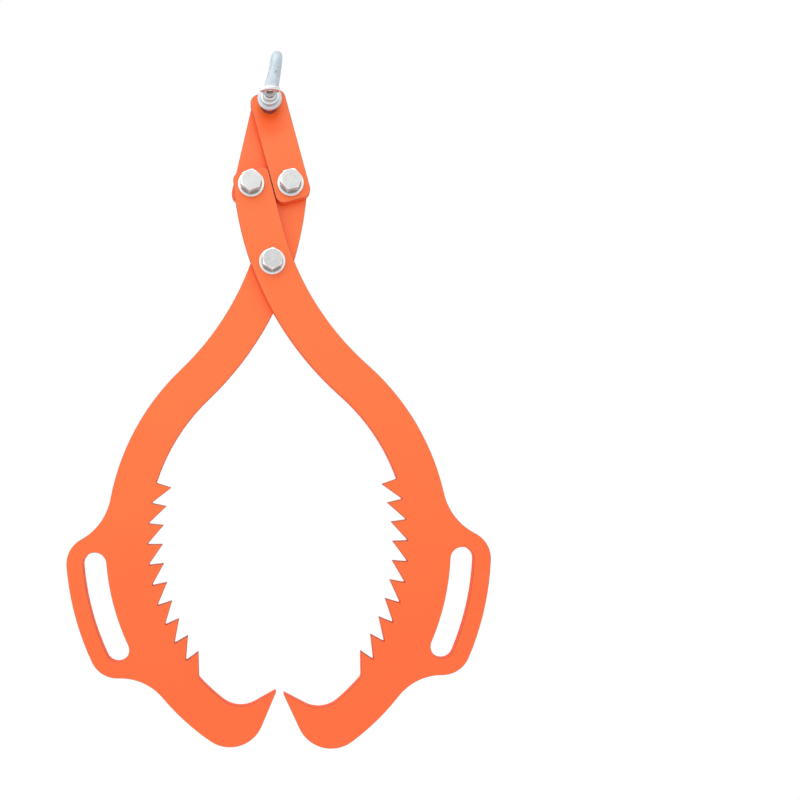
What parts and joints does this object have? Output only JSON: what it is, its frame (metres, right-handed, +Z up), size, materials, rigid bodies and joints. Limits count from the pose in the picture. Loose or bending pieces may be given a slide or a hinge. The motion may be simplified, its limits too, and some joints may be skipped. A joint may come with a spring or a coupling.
{
  "type": "log tongs",
  "caption": "Hanging log tongs: crossed flat steel claw arms with toothed jaws, hook tips and hand slots, closed by links that hang from a screw-pin shackle.",
  "frame": {"origin": "the seat of the lifting hook, at the inside of the shackle bow's crown", "axes": "+Z up, against the tongs' weight; +X to the right along the plates; +Y to the rear, across the plates, so the bolt heads face -Y"},
  "size_m": [0.4331, 0.0678, 0.7109],
  "materials": {
    "orange_coat": "satin orange powder coat",
    "bright_zinc": "bright zinc plate",
    "galvanised": "mottled galvanised",
    "nylon": "natural nylon"
  },
  "bodies": {
    "shackle": {"shackle_bow": "galvanised", "shackle_pin": "galvanised"},
    "left_link": {"left_link": "orange_coat"},
    "right_arm": {"right_claw_arm": "orange_coat", "left_bolt": "bright_zinc", "left_head_washer": "bright_zinc", "left_nut_washer": "bright_zinc", "left_lock_nut": "bright_zinc", "left_lock_ring": "nylon", "centre_bolt": "bright_zinc", "centre_head_washer": "bright_zinc", "centre_nut_washer": "bright_zinc", "centre_lock_nut": "bright_zinc", "centre_lock_ring": "nylon"},
    "left_arm": {"left_claw_arm": "orange_coat"},
    "right_link": {"right_link": "orange_coat", "right_bolt": "bright_zinc", "right_head_washer": "bright_zinc", "right_nut_washer": "bright_zinc", "right_lock_nut": "bright_zinc", "right_lock_ring": "nylon"}
  },
  "joints": [
    {"name": "left_link_swing", "type": "hinge", "parent": "shackle", "child": "left_link", "pos_m": [-0.00784, 0, -0.0436], "axis": [0, 1, 0], "range_deg": [-16, 144]},
    {"name": "left_arm_open", "type": "hinge", "parent": "right_arm", "child": "left_arm", "pos_m": [-0.00784, 0, -0.20377], "axis": [0, 1, 0], "range_deg": [0, 108]},
    {"name": "right_arm_open", "type": "hinge", "parent": "left_link", "child": "right_arm", "pos_m": [-0.02783, 0, -0.12476], "axis": [0, -1, 0], "range_deg": [0, 108]},
    {"name": "right_link_open", "type": "hinge", "parent": "left_arm", "child": "right_link", "pos_m": [0.01214, 0, -0.12476], "axis": [0, -1, 0], "range_deg": [0, 108]}
  ],
  "couplings": [
    {"joint": "right_arm_open", "follows": "left_arm_open", "ratio": 1},
    {"joint": "right_link_open", "follows": "left_arm_open", "ratio": 1}
  ]
}
